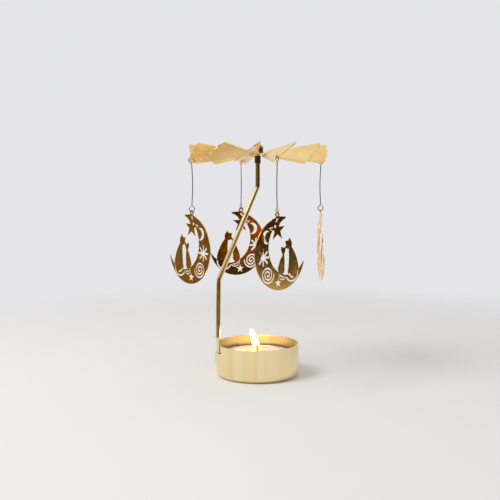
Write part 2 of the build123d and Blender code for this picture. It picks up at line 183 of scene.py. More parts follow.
def mixed_shaders(tree, factor, first, second):
    """The first shader where the factor is 0, the second where it is 1."""
    node = add(tree, "ShaderNodeMixShader")
    feed(tree, factor, node.inputs["Fac"])
    feed(tree, first, node.inputs[1])
    feed(tree, second, node.inputs[2])
    return node.outputs["Shader"]


def bump(tree, height, distance, strength=1.0, normal=None):
    """Normal bent by a height field, on top of an earlier bump when one is given."""
    node = add(tree, "ShaderNodeBump", in_Strength=strength, in_Distance=distance)
    feed(tree, height, node.inputs["Height"])
    if normal is not None:
        feed(tree, normal, node.inputs["Normal"])
    return node.outputs["Normal"]


def principled(tree, colour, roughness, normal, **values):
    """The surface shader of a finish, already shown; the values are its constant inputs."""
    bsdf = add(tree, "ShaderNodeBsdfPrincipled", **values)
    feed(tree, colour, bsdf.inputs["Base Color"])
    feed(tree, roughness, bsdf.inputs["Roughness"])
    feed(tree, normal, bsdf.inputs["Normal"])
    show(tree, bsdf.outputs["BSDF"])
    return bsdf


# Materials
def metal(name, tints, rough, grain, grain_depth, wave=0.0, wave_depth=0.0, anisotropic=0.0,
          tone_and_painted_band_stretch=(1, 1, 1)):
    """Metal with a cloudy tint, uneven roughness, drawn grain and, with a wave depth, a slow waviness.

    The tints are dark, middle and light; stretched far along one axis, they run in bands of painted
    reflection. The grain per metre is along the three axes, the wave in all.
    """
    material, tree = new_material(name)
    plain = coordinates(tree)
    cloud = noise(tree, coordinates(tree, tone_and_painted_band_stretch), 95.0, 4.0, 0.6)
    colour = ramp(tree, cloud, list(zip((0.30, 0.50, 0.72), tints)))
    smear = noise(tree, plain, 260.0)
    roughness = spread(tree, smear, 0.30, 0.72, *rough)
    strokes = noise(tree, coordinates(tree, grain), 1.0, 2.0)
    normal = bump(tree, strokes, grain_depth)
    if wave_depth:
        normal = bump(tree, noise(tree, plain, wave, 1.0), wave_depth, normal=normal)
    bsdf = principled(tree, colour, roughness, normal, in_Metallic=1.0, in_Anisotropic=anisotropic)
    return material, tree, bsdf


def cup_brass():
    """Turned brass: its highlights are drawn out, its tint runs in upright bands of painted reflection, and
    the wall is duller inside than outside.
    """
    # The tint, squeezed to 0.02 in height, paints upright light and dark bands down the wall: a painted
    # reflection of the room.
    material, tree, bsdf = metal(
        "cup_brass", ((0.86, 0.69, 0.37), (0.92, 0.77, 0.44), (0.96, 0.84, 0.54)), (0.09, 0.14),
        (60, 60, 3000), 0.0006 * MM, anisotropic=0.4, tone_and_painted_band_stretch=(1.6, 1.6, 0.02))
    around = add(tree, "ShaderNodeTangent", direction_type="RADIAL", axis="Z")
    feed(tree, around.outputs["Tangent"], bsdf.inputs["Tangent"])
    place = coordinates(tree)
    dull_inside = spread(tree, from_axis(tree, place), 22.65 * MM, 22.85 * MM, 0.26, 0.0)
    above_corner = rising(tree, height_of(tree, place), 3 * MM, 5 * MM)
    dulling = combine(tree, "MULTIPLY", dull_inside, above_corner)
    bright = bsdf.inputs["Roughness"].links[0].from_socket
    feed(tree, combine(tree, "ADD", bright, dulling), bsdf.inputs["Roughness"])
    return material


def wax_cream():
    """Cream wax, glossier and more yellow where it has melted round the wick."""
    material, tree = new_material("wax_cream")
    plain = coordinates(tree)
    wobble = noise(tree, plain, 420.0, 2.0)
    uneven_radius = combine(tree, "MULTIPLY_ADD", wobble, 4 * MM, from_axis(tree, plain))
    pool = falling(tree, uneven_radius, 11 * MM, 15 * MM)
    colour = ramp(tree, pool, [(0.0, (0.93, 0.86, 0.68)), (1.0, (0.95, 0.83, 0.56))])
    roughness = spread(tree, pool, 0.0, 1.0, 0.45, 0.16)
    normal = bump(tree, noise(tree, plain, 900.0), 0.03 * MM, 0.5)
    principled(tree, colour, roughness, normal, in_Subsurface_Weight=0.6,
               in_Subsurface_Radius=(4 * MM, 2.4 * MM, 1.2 * MM), in_Subsurface_Scale=1.0, in_IOR=1.44)
    return material


def wick_charred():
    """Braided cotton, burnt black at the tip."""
    material, tree = new_material("wick_charred")
    burnt = rising(tree, height_of(tree, coordinates(tree)), 12.8 * MM, 14.0 * MM)
    fibre = noise(tree, coordinates(tree, (1, 1, 0.3)), 3000.0)
    pale = ramp(tree, fibre, [(0.3, (0.42, 0.33, 0.20)), (0.7, (0.72, 0.62, 0.44))])
    black = ramp(tree, fibre, [(0.3, (0.012, 0.010, 0.008)), (0.7, (0.07, 0.05, 0.035))])
    colour = mixed(tree, "RGBA", burnt, pale, black)
    principled(tree, colour, 0.9, bump(tree, fibre, 0.08 * MM))
    return material


metals = {
    "stem_brass": dict(
        tints=((0.84, 0.66, 0.32), (0.90, 0.74, 0.38), (0.93, 0.78, 0.44)),
        rough=(0.12, 0.20), grain=(5200, 5200, 120), grain_depth=0.001 * MM),
    "fan_brass": dict(
        tints=((0.84, 0.55, 0.19), (0.90, 0.63, 0.25), (0.94, 0.71, 0.33)),
        rough=(0.30, 0.38), grain=(700, 700, 700), grain_depth=0.0012 * MM, wave=55.0, wave_depth=0.05 * MM),
    "charm_brass": dict(
        tints=((0.78, 0.43, 0.09), (0.84, 0.49, 0.12), (0.89, 0.56, 0.17)),
        rough=(0.10, 0.16), grain=(900, 900, 900), grain_depth=0.0006 * MM, wave=60.0, wave_depth=0.05 * MM),
    "collar_dark": dict(
        tints=((0.10, 0.07, 0.04), (0.17, 0.12, 0.07), (0.26, 0.19, 0.11)),
        rough=(0.24, 0.40), grain=(900, 900, 4000), grain_depth=0.004 * MM),
    "cap_dark": dict(
        tints=((0.12, 0.09, 0.06), (0.20, 0.15, 0.10), (0.32, 0.24, 0.15)),
        rough=(0.18, 0.34), grain=(900, 900, 5000), grain_depth=0.004 * MM),
    "needle_steel": dict(
        tints=((0.42, 0.42, 0.41), (0.50, 0.49, 0.47), (0.58, 0.57, 0.55)),
        rough=(0.14, 0.24), grain=(5000, 5000, 300), grain_depth=0.002 * MM),
    "wire_steel": dict(
        tints=((0.22, 0.21, 0.19), (0.30, 0.29, 0.26), (0.38, 0.36, 0.32)),
        rough=(0.20, 0.34), grain=(4000, 4000, 300), grain_depth=0.002 * MM),
    "tin_aluminium": dict(
        tints=((0.74, 0.74, 0.73), (0.82, 0.82, 0.81), (0.88, 0.88, 0.87)),
        rough=(0.18, 0.34), grain=(500, 500, 60), grain_depth=0.02 * MM, wave=260.0, wave_depth=0.15 * MM),
    "sustainer_steel": dict(
        tints=((0.50, 0.49, 0.47), (0.58, 0.57, 0.55), (0.66, 0.65, 0.62)),
        rough=(0.24, 0.40), grain=(900, 900, 900), grain_depth=0.006 * MM),
}

finishes = {name: metal(name, **facts)[0] for name, facts in metals.items()}
finishes["cup_brass"] = cup_brass()
finishes["wax_cream"] = wax_cream()
finishes["wick_charred"] = wick_charred()

slot_of_node = {
    "cup": "cup_brass", "stem": "stem_brass", "stem_collar": "collar_dark",
    "pivot_needle": "needle_steel", "fan_wheel": "fan_brass", "pivot_cap": "cap_dark",
    "tealight_tin": "tin_aluminium", "tealight_wax": "wax_cream",
    "tealight_wick": "wick_charred", "wick_sustainer": "sustainer_steel",
}
for number in "1234":
    slot_of_node["hanger_" + number] = "wire_steel"
    slot_of_node["charm_" + number] = "charm_brass"


# Fine pieces
def smoothed(data, angle):
    """Smooth shading, with the edges past an angle in degrees kept sharp."""
    for face in data.polygons:
        face.use_smooth = True
    data.set_sharp_from_angle(angle=math.radians(angle))


def bevelled(piece, width, segments=2, angle=30.0, smooth=True):
    """Breaks the edges past an angle; a piece of flat faces keeps plain normals and the full width."""
    modifier = piece.modifiers.new("edge", "BEVEL")
    modifier.width = width
    modifier.segments = segments
    modifier.limit_method = "ANGLE"
    modifier.angle_limit = math.radians(angle)
    modifier.use_clamp_overlap = smooth
    modifier.harden_normals = smooth


def thickened(piece, thickness, offset):
    """Turns a skin into a sheet: offset -1 grows it inwards, 0 to both sides."""
    modifier = piece.modifiers.new("sheet", "SOLIDIFY")
    modifier.thickness = thickness
    modifier.offset = offset


def finished(mesh, name, body, node=None, angle=40.0):
    """A bmesh as a piece on a body, in place of a CAD node if one is named; angle 0 leaves it flat."""
    data = bpy.data.meshes.new(name)
    mesh.to_mesh(data)
    mesh.free()
    if angle:
        smoothed(data, angle)
    piece = bpy.data.objects.new(name, data)
    bpy.context.scene.collection.objects.link(piece)
    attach(piece, body)
    if node:
        data.materials.append(finishes[slot_of_node[node]])
        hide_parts(node)
    return piece


def arc(centre, radius, start, end, steps):
    """Places round a centre, from one angle to another in degrees."""
    turns = [math.radians(start + (end - start) * k / steps) for k in range(steps + 1)]
    return [(centre[0] + radius * math.cos(t), centre[1] + radius * math.sin(t)) for t in turns]


def upright(height):
    """No sideways shift at any height."""
    return Vector()


def lathe(profile, sides, bend=upright):
    """Turned closed body from (radius, height) pairs whose first and last lie on the axis."""
    mesh = bmesh.new()
    turns = [2 * math.pi * k / sides for k in range(sides)]
    rings = []
    for radius, height in profile[1:-1]:
        places = [Vector((radius * math.cos(turn), radius * math.sin(turn), height)) for turn in turns]
        rings.append([mesh.verts.new(place + bend(height)) for place in places])
    ends = [mesh.verts.new(Vector((0, 0, height)) + bend(height)) for _, height in (profile[0], profile[-1])]
    for k in range(sides):
        n = (k + 1) % sides
        mesh.faces.new((ends[0], rings[0][n], rings[0][k]))
        mesh.faces.new((ends[1], rings[-1][k], rings[-1][n]))
        for low, high in zip(rings, rings[1:]):
            mesh.faces.new((low[k], low[n], high[n], high[k]))
    return mesh


def tube(route, section, sides):
    """Bar along places in the upright XZ plane; section(i, angle) gives the spread across and along Y."""
    mesh = bmesh.new()
    rings = []
    for i, place in enumerate(route):
        ahead = (route[min(i + 1, len(route) - 1)] - route[max(i - 1, 0)]).normalized()
        across = ahead.cross(Vector((0, 1, 0)))
        ring = []
        for k in range(sides):
            out, beside = section(i, 2 * math.pi * k / sides)
            ring.append(mesh.verts.new(place + across * out + Vector((0, beside, 0))))
        rings.append(ring)
    for near, far in zip(rings, rings[1:]):
        for k in range(sides):
            n = (k + 1) % sides
            mesh.faces.new((near[k], near[n], far[n], far[k]))
    mesh.faces.new(rings[0])
    mesh.faces.new(rings[-1])
    bmesh.ops.recalc_face_normals(mesh, faces=mesh.faces)
    return mesh


# Cup, whose strap spans the columns nearer than strap_ends to the middle one on the stem's side
cup_corner = 3.4 * MM
cup_sheet = 0.5 * MM
cup_sides = 144
strap_low = 8.4 * MM
strap_high = 14.2 * MM
strap_middle = cup_sides // 2
strap_flat = 3
strap_ends = 5


def cup_rows(radius, height):
    """The cup's outside from its underside to its rim, as (radius, height)."""
    rows = [(6 * MM, 0), (13 * MM, 0)] + arc((radius - cup_corner, cup_corner), cup_corner, -90, 0, 10)
    bands = [(cup_corner, strap_low, 2), (strap_low, strap_high, 4), (strap_high, height, 2)]
    for bottom, top, steps in bands:
        rows += [(radius, bottom + (top - bottom) * k / steps) for k in range(1, steps + 1)]
    return rows


def cup_verts(mesh, rows, strap_rows, bulge):
    """Corners of the wall and of the strap, by row and column; where both exist, the sheet is slit."""
    wall = {}
    strap = {}
    for i, (radius, height) in enumerate(rows):
        for k in range(cup_sides):
            angle = 2 * math.pi * k / cup_sides
            out = Vector((math.cos(angle), math.sin(angle), 0))
            off = abs(k - strap_middle)
            if off < strap_ends and i in strap_rows:
                pressed = bulge * min(1.0, (strap_ends - off) / (strap_ends - strap_flat))
                strap[i, k] = mesh.verts.new(out * (radius + pressed) + Vector((0, 0, height)))
            if off >= strap_ends or i not in strap_rows[1:-1]:
                wall[i, k] = mesh.verts.new(out * radius + Vector((0, 0, height)))
    return wall, strap


def make_cup():
    """The drawn cup as one skin with its strap pressed out of the wall, thickened inwards."""
    low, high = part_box("cup")
    radius = high.y
    rows = cup_rows(radius, high.z)
    slack = 0.001 * MM
    strap_rows = [i for i, (_, height) in enumerate(rows) if strap_low - slack < height < strap_high + slack]
    mesh = bmesh.new()
    wall, strap = cup_verts(mesh, rows, strap_rows, -low.x - radius)
    centre = mesh.verts.new((0, 0, 0))
    for k in range(cup_sides):
        n = (k + 1) % cup_sides
        mesh.faces.new((centre, wall[0, n], wall[0, k]))
        near_strap = min(abs(k - strap_middle), abs(n - strap_middle)) < strap_ends
        for i in range(len(rows) - 1):
            corners = ((i, k), (i, n), (i + 1, n), (i + 1, k))
            if near_strap and i in strap_rows[:-1]:
                mesh.faces.new([strap.get(corner) or wall[corner] for corner in corners])
            else:
                mesh.faces.new([wall[corner] for corner in corners])
    piece = finished(mesh, "cup_drawn", "base", "cup")
    thickened(piece, cup_sheet, -1)
    bevelled(piece, 0.12 * MM, 3, 50)


# Stem, with the tip of its tongue as (height, share of the full width)
stem_radius = 1.35 * MM
stem_bend_radius = 6.0 * MM
stem_lower_bend = Vector((-22.6 * MM, 0, 54.5 * MM))
stem_upper_bend = Vector((0, 0, 104.5 * MM))
tongue_half = 0.25 * MM
tongue_top = 21.0 * MM
neck_top = 23.4 * MM
tongue_tip = [
    (0.0, 0.55), (0.15 * MM, 0.78), (0.5 * MM, 0.93), (1.1 * MM, 1.0), (4.0 * MM, 1.0), (8.0 * MM, 1.0)]


def bend_at(before, corner, after, steps=12):
    """Places round the bend where two straight legs would meet in a corner."""
    back = (before - corner).normalized()
    on = (after - corner).normalized()
    half = back.angle(on) / 2
    leg = stem_bend_radius / math.tan(half)
    centre = corner + (back + on).normalized() * (stem_bend_radius / math.sin(half))
    first = (corner + back * leg - centre).normalized()
    last = (corner + on * leg - centre).normalized()
    return [centre + first.slerp(last, k / steps) * stem_bend_radius for k in range(steps + 1)]


def stem_route(foot, top, steps=8):
    """Places up the tongue, through the neck above it and round the two bends to the rod's top."""
    route = [foot + Vector((0, 0, rise)) for rise, _ in tongue_tip]
    for k in range(steps + 1):
        route.append(Vector((foot.x, 0, tongue_top + (neck_top - tongue_top) * k / steps)))
    route += bend_at(route[-1], stem_lower_bend, stem_upper_bend)
    route += bend_at(stem_lower_bend, stem_upper_bend, top)
    return route + [top]


def make_stem():
    """The round rod, bent twice, with its foot hammered into the flat tongue behind the strap."""
    low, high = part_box("stem")
    half_width = high.y
    route = stem_route(Vector((low.x + stem_radius, 0, low.z)), Vector((0, 0, high.z)))

    def section(i, angle):
        risen = min(1.0, max(0.0, (route[i].z - tongue_top) / (neck_top - tongue_top)))
        roundness = risen * risen * (3 - 2 * risen)
        power = 2 / (7 - 5 * roundness)
        across = tongue_half + (stem_radius - tongue_half) * roundness
        beside = half_width + (stem_radius - half_width) * roundness
        if i < len(tongue_tip):
            beside *= tongue_tip[i][1]
        c = math.cos(angle)
        s = math.sin(angle)
        return across * math.copysign(abs(c) ** power, c), beside * math.copysign(abs(s) ** power, s)

    finished(tube(route, section, 32), "stem_rod", "base", "stem")


# Pivot
def make_cap():
    """The dark turned thimble in the hub, domed outside and coned inside."""
    low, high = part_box("pivot_cap")
    outer = high.x
    spigot = 1.2 * MM
    bore = spigot - 0.22 * MM
    fan_top = joint_place["fan_spin"].z + 0.2 * MM
    cone_top = high.z - 0.45 * MM
    cone_low = cone_top - 2.8 * MM
    edge = 0.15 * MM
    dome = 2.2 * MM
    profile = [(0, cone_top), (bore, cone_low), (bore, low.z), (spigot, low.z), (spigot, fan_top)]
    profile += [(outer - edge, fan_top), (outer, fan_top + edge)]
    profile += arc((outer - dome, high.z - dome), dome, 0, 90, 10)
    profile.append((0, high.z))
    finished(lathe(profile, 48), "cap_dome", "rotor", "pivot_cap")


def make_needle():
    """Steel pin with a broken lower edge and a ground point."""
    low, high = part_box("pivot_needle")
    radius = high.x
    edge = 0.1 * MM
    shoulder = high.z - 1.6 * MM
    blunt = 0.05 * MM
    profile = [(0, low.z), (radius - edge, low.z), (radius, low.z + edge), (radius, shoulder)]
    profile += [(blunt, high.z - blunt), (0, high.z)]
    finished(lathe(profile, 32), "needle_ground", "base", "pivot_needle")


# Hangers
wire_radius = 0.25 * MM
wire_bow = 0.5 * MM
hook_radius = 1.6 * MM
loop_radius = 1.5 * MM
loop_above_eyelet = 0.4 * MM
eye_gap = 25
eye_bend = 0.6 * MM


def eye(across, up, radius, way):
    """Places round an open ring and the small bend that brings it onto the shank, whose end comes last."""
    lead = math.degrees(math.asin(eye_bend / (radius + eye_bend)))
    drop = math.sqrt((radius + eye_bend) ** 2 - eye_bend ** 2)
    ring = arc((0, 0), radius, 270 - eye_gap, lead - 90, 28)
    bend = arc((eye_bend, -drop), eye_bend, 90 + lead, 180, 5)[1:]
    return [Vector((across + way * x, 0, up + way * z)) for x, z in ring + bend]


def round_wire(i, angle):
    return wire_radius * math.cos(angle), wire_radius * math.sin(angle)


def make_hangers():
    """Four round wires, slightly bowed, with an open hook above and a loop below."""
    hook = joint_place["hanger_1_swing"]
    loop_height = joint_place["charm_1_swing"].z + loop_above_eyelet + loop_radius
    top = eye(hook.x, hook.z, hook_radius, 1)
    bottom = eye(hook.x, loop_height, loop_radius, -1)
    shank = []
    for k in range(1, 10):
        bow = Vector((wire_bow * math.sin(math.pi * k / 10), 0, 0))
        shank.append(top[-1].lerp(bottom[-1], k / 10) - bow)
    for k in range(4):
        mesh = tube(top + shank + bottom[::-1], round_wire, 12)
        bmesh.ops.translate(mesh, verts=mesh.verts, vec=(0, hook.y, 0))
        bmesh.ops.rotate(mesh, verts=mesh.verts, matrix=Matrix.Rotation(math.radians(90 * k), 3, "Z"))
        name = "hanger_%d" % (k + 1)
        finished(mesh, name + "_wire", name, name)


# Tealight, with the wax surface as (distance in, depth) at its rim and (radius, depth) in its pool
tin_bead = 0.4 * MM
tin_wall = 0.25 * MM
tin_corner = 1.2 * MM
wax_rim = [(0, 0), (0.5 * MM, 0.30 * MM), (1.6 * MM, 0.42 * MM)]
wax_pool = [
    (14.6 * MM, 0.40 * MM), (13.6 * MM, 0.55 * MM), (12.4 * MM, 0.66 * MM), (3.0 * MM, 0.66 * MM),
    (1.2 * MM, 0.55 * MM), (0.75 * MM, 0.30 * MM), (0.55 * MM, 0.05 * MM), (0, 0.05 * MM)]
wick_radius = 0.55 * MM
wick_curl = 0.9 * MM
wick_curl_from = 0.82


def make_tin():
    """Thin foil cup with a rolled rim."""
    low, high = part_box("tealight_tin")
    radius = high.x - tin_bead
    corner = (radius - tin_corner, low.z + tin_corner)
    profile = [(0, low.z)] + arc(corner, tin_corner, -90, 0, 6)
    profile += arc((radius, high.z - tin_bead), tin_bead, -80, 200, 14)
    profile.append((radius - tin_wall, high.z - 2 * tin_bead))
    profile += arc(corner, tin_corner - tin_wall, 0, -90, 6)
    profile.append((0, low.z + tin_wall))
    finished(lathe(profile, 96), "tin_rolled", "tealight", "tealight_tin")


def make_wax():
    """Wax that clings to the tin and has melted into a shallow pool round the wick."""
    low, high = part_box("tealight_wax")
    side = high.x - 0.02 * MM
    profile = [(0, low.z), (side - tin_corner, low.z), (side, low.z + tin_corner)]
    profile += [(side - inwards, high.z - depth) for inwards, depth in wax_rim]
    profile += [(radius, high.z - depth) for radius, depth in wax_pool]
    finished(lathe(profile, 96), "wax_melted", "tealight", "tealight_wax", 80)


def make_wick():
    """Three twisted strands whose burnt tip curls over."""
    low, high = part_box("tealight_wick")
    steps = 40
    route = []
    for k in range(steps + 1):
        rise = k / steps
        curl = max(0.0, rise - wick_curl_from) / (1 - wick_curl_from)
        route.append(Vector((-wick_curl * curl ** 1.6, 0, low.z + (high.z - low.z) * rise)))

    def section(i, angle):
        strand = 1 + 0.13 * math.cos(3 * (angle + 0.55 * i))
        size = wick_radius * strand * (0.45 if i == steps else 0.82)
        return size * math.cos(angle), size * math.sin(angle)

    finished(tube(route, section, 24), "wick_twisted", "tealight", "tealight_wick", 80)


# Charm outline, measured from the centre of the crescent's outer circle as complex numbers,
# across + up j, in shares of that circle's radius; the radius itself and all widths are in millimetres
charm_radius = 18.6
charm_sheet = 0.45
hole_centre = -0.306 + 0.183j
hole_radius = 0.780
trim_shares = [-0.225 + 0.988j, -0.225 + 0.940j, -0.450 + 0.850j, -0.450 + 1.010j]
brow_shares = [
    -0.225 + 1.018j, 0.060 + 1.037j, 0.300 + 0.970j, 0.380 + 0.900j, 0.110 + 0.800j, 0.045 + 0.785j,
    -0.005 + 0.855j, -0.100 + 0.922j, -0.170 + 0.960j, -0.230 + 0.994j]
star_centre = 0.113 + 0.665j
star_radius = 0.312
big_body_shares = [
    -0.455 + 0.170j, -0.640 - 0.110j, -0.730 - 0.380j, -0.660 - 0.600j, -0.470 - 0.700j,
    -0.320 - 0.610j, -0.320 - 0.430j, -0.355 - 0.160j, -0.340 + 0.130j]
big_head_shares = [
    -0.455 + 0.140j, -0.470 + 0.290j, -0.425 + 0.360j, -0.365 + 0.430j, -0.330 + 0.355j,
    -0.195 + 0.345j, -0.225 + 0.235j, -0.175 + 0.165j, -0.300 + 0.115j]
small_body_shares = [
    -0.090 + 0.010j, 0.030 - 0.200j, 0.100 - 0.400j, 0.060 - 0.520j, -0.060 - 0.570j,
    -0.135 - 0.510j, -0.150 - 0.400j, -0.160 - 0.220j, -0.140]
small_head_shares = [
    -0.150 - 0.020j, -0.200 + 0.090j, -0.215 + 0.180j, -0.120 + 0.165j, -0.045 + 0.200j,
    -0.035 + 0.080j, -0.070 - 0.010j]
eyelet_share = 0.113 + 1.085j
eyelet_outer = 1.5
eyelet_inner = 0.75

# Cut-outs of the charm
moon_centre = 0.535 + 0.490j
moon_radius = 0.180
moon_inner_centre = 0.437 + 0.484j
moon_inner_radius = 0.162
flower_centre = 0.680 - 0.050j
petal_reach = 0.210
petal_width = 1.0
spiral_centre = 0.490 - 0.530j
spiral_radius = 0.225
spiral_pitch = 0.090
coarse_slit = 0.75
fine_slit = 0.45
low_star_centre = 0.108 - 0.795j
low_star_radius = 0.140
drop_shares = [0.075 + 0.985j, 0.135 + 0.975j, 0.190 + 0.880j, 0.120 + 0.905j]
dot_centre = 0.200 + 0.765j
dot_radius = 0.040
mark_shares = [0.300 + 0.745j, 0.440 + 0.725j, 0.345 + 0.665j]
slit_shares = [
    ([-0.715 - 0.530j, -0.430 - 0.795j, -0.240 - 0.680j], coarse_slit),
    ([-0.500 - 0.690j, -0.430 - 0.665j, -0.345 - 0.600j], coarse_slit),
    ([0.085 - 0.520j, -0.060 - 0.715j, -0.205 - 0.660j], fine_slit),
    ([0.040 - 0.560j, -0.060 - 0.640j, -0.150 - 0.640j], fine_slit),
    ([-0.240 - 0.420j, -0.190 - 0.520j, -0.120 - 0.560j], fine_slit)]


def through(first, middle, last, steps=8):
    """Places on the arc from the first through the middle to the last."""
    skew = (last - first) / (middle - first)
    centre = first + (middle - first) * (skew - abs(skew) ** 2) / (2j * skew.imag)
    turn = abs(cmath.phase((last - centre) / (first - centre)))
    turn = math.copysign(turn, cmath.phase((middle - centre) / (first - centre)))
    return [centre + (first - centre) * cmath.exp(1j * turn * k / steps) for k in range(steps + 1)]


def circle(centre, radius, sides):
    return [centre + radius * cmath.exp(2j * math.pi * k / sides) for k in range(sides)]


def star(centre, radius):
    """Five points whose edges run on straight from one point to the next but one."""
    inner = radius * math.sin(math.radians(18)) / math.sin(math.radians(54))
    reaches = [radius, inner] * 5
    return [centre + reach * cmath.exp(1j * math.radians(90 + 36 * k)) for k, reach in enumerate(reaches)]


def arced(shares):
    """Outline that follows arcs, each through three of the shares."""
    places = []
    for k in range(0, len(shares) - 2, 2):
        places += through(*shares[k:k + 3])[:-1]
    return places + [shares[-1]]


def stroke(line, width):
    """Outline of a slit of even width along a line, with round ends."""
    half = width / 2 / charm_radius
    left = []
    right = []
    for k, place in enumerate(line):
        ahead = line[min(k + 1, len(line) - 1)] - line[max(k - 1, 0)]
        side = 1j * half * ahead / abs(ahead)
        left.append(place + side)
        right.append(place - side)
    start = [line[0] + (left[0] - line[0]) * cmath.exp(1j * math.pi * k / 5) for k in range(1, 5)]
    end = [line[-1] + (right[-1] - line[-1]) * cmath.exp(1j * math.pi * k / 5) for k in range(1, 5)]
    return left[::-1] + start + right + end


def petals():
    """Middle lines of the flower's eight slits."""
    lines = []
    for k in range(8):
        reach = petal_reach * cmath.exp(1j * math.pi * k / 4)
        lines.append([flower_centre, flower_centre + reach / 2, flower_centre + reach])
    return lines


def spiral(half_turns=5, steps=14):
    """Middle line of the spiral slit: half turns that shrink by half the pitch each."""
    line = []
    radius = spiral_radius
    start = spiral_centre - spiral_radius
    side = 1
    for _ in range(half_turns):
        middle = start + side * radius
        line += [middle - side * radius * cmath.exp(1j * math.pi * k / steps) for k in range(steps)]
        start += side * 2 * radius
        side = -side
        radius -= spiral_pitch / 2
    return line


def charm_layers():
    """Outlines from the lowest to the highest, each with what it does to the sheet inside itself."""
    layers = [
        ("add", circle(0, 1, 120)),
        ("cut", circle(hole_centre, hole_radius, 96)),
        ("cut", trim_shares),
        ("add", brow_shares),
        ("add", star(star_centre, star_radius)),
        ("add", arced(big_body_shares)),
        ("add", big_head_shares),
        ("add", arced(small_body_shares)),
        ("add", small_head_shares),
        ("add", circle(eyelet_share, eyelet_outer / charm_radius, 28)),
        ("cut", circle(moon_centre, moon_radius, 48)),
        ("restore", circle(moon_inner_centre, moon_inner_radius, 48))]
    layers += [("cut", stroke(line, petal_width)) for line in petals()]
    layers += [
        ("cut", stroke(spiral(), coarse_slit)),
        ("cut", star(low_star_centre, low_star_radius)),
        ("cut", drop_shares),
        ("cut", circle(dot_centre, dot_radius, 20)),
        ("cut", stroke(mark_shares, fine_slit))]
    layers += [("cut", stroke(through(*line), width)) for line, width in slit_shares]
    layers.append(("cut", circle(eyelet_share, eyelet_inner / charm_radius, 24)))
    return layers


def stays_metal(inside, layers):
    """Whether a cell inside some of the layers is metal; restore undoes the layer just below it."""
    states = [False]
    for k, (action, _) in enumerate(layers):
        if k not in inside:
            states.append(states[-1])
        elif action == "restore":
            states.append(states[-2])
        else:
            states.append(action == "add")
    return states[-1]


def charm_plate():
    """Flat stamped sheet, as places in millimetres and the cells that stay metal."""
    layers = charm_layers()
    points = []
    loops = []
    for _, outline in layers:
        area = sum((a.conjugate() * b).imag for a, b in zip(outline, outline[1:] + outline[:1]))
        turning_left = outline if area > 0 else outline[::-1]
        loops.append(list(range(len(points), len(points) + len(outline))))
        points += [Vector((z.real * charm_radius, z.imag * charm_radius)) for z in turning_left]
    join_within = 0.0001
    places, _, cells, _, _, owners = delaunay_2d_cdt(points, [], loops, 1, join_within, True)
    return places, [cell for cell, inside in zip(cells, owners) if stays_metal(inside, layers)]


def hung(places, cells):
    """The places in metres from the eyelet, turned so that the sheet's weight is straight below it."""
    eyelet = Vector((eyelet_share.real, eyelet_share.imag)) * charm_radius
    weight = Vector((0, 0))
    total = 0.0
    for cell in cells:
        a, b, c = (places[i] - eyelet for i in cell)
        area = (b - a).cross(c - a)
        weight += (a + b + c) / 3 * area
        total += area
    weight /= total
    lean = Matrix.Rotation(-math.atan2(weight.x, -weight.y), 2)
    return [lean @ (place - eyelet) * MM for place in places]


def make_charms():
    """Four pierced charms from one sheet, every second one turned to show its other face."""
    places, cells = charm_plate()
    flat = hung(places, cells)
    for k in range(4):
        name = "charm_%d" % (k + 1)
        eyelet = joint_place[name + "_swing"]
        way = -1 if k % 2 else 1
        across = Vector((0, 0, 1)).cross(joint_axis[name + "_swing"].normalized()) * way
        mesh = bmesh.new()
        verts = [mesh.verts.new(eyelet + across * place.x + Vector((0, 0, place.y))) for place in flat]
        for cell in cells:
            mesh.faces.new([verts[i] for i in cell])
        bmesh.ops.delete(mesh, geom=[v for v in mesh.verts if not v.link_faces], context="VERTS")
        piece = finished(mesh, name + "_pierced", name, name, 0)
        thickened(piece, charm_sheet * MM, 0)
        bevelled(piece, 0.09 * MM, smooth=False)


for name, piece in nodes.items():
    piece.data.materials.clear()
    piece.data.materials.append(finishes[slot_of_node[name]])
bevelled(nodes["fan_wheel"], 0.08 * MM)
smoothed(nodes["stem_collar"].data, 40)
bevelled(nodes["stem_collar"], 0.15 * MM)

make_cup()
make_stem()
make_cap()
make_needle()
make_hangers()
make_charms()
make_tin()
make_wax()
make_wick()

# Flame
flame_foot = 12.3 * MM
flame_height = 13.7 * MM
flame_lean = 3.6 * MM


def flame_bend(height):
    """Sideways shift of the leaning flame at a height."""
    share = max(0.0, (height - flame_foot) / flame_height)
    return Vector(picture_left) * flame_lean * share ** 1.3


def flame_profile(width, low_share, high_share, steps=24):
    """Drop shape between two shares of the flame's height, as (radius, height)."""
    pairs = []
    for k in range(steps + 1):
        share = k / steps
        swell = math.sin(math.pi * share ** 0.62) ** 0.36 if 0 < share < 1 else 0
        height = low_share + (high_share - low_share) * share
        pairs.append((width * swell, flame_foot + flame_height * height))
    return pairs


def flame_material(name, strength, fade_from, foot_opacity, top_opacity, colours):
    """Glow whose colour runs up the flame, from one opacity at its foot to another above."""
    material, tree = new_material(name)
    along = rising(tree, height_of(tree, coordinates(tree)), flame_foot, flame_foot + flame_height)
    glow = add(tree, "ShaderNodeEmission", in_Strength=strength)
    feed(tree, ramp(tree, along, colours), glow.inputs["Color"])
    clear = add(tree, "ShaderNodeBsdfTransparent")
    opacity = spread(tree, along, fade_from, fade_from + 0.25, foot_opacity, top_opacity)
    show(tree, mixed_shaders(tree, opacity, clear.outputs["BSDF"], glow.outputs["Emission"]))
    return material


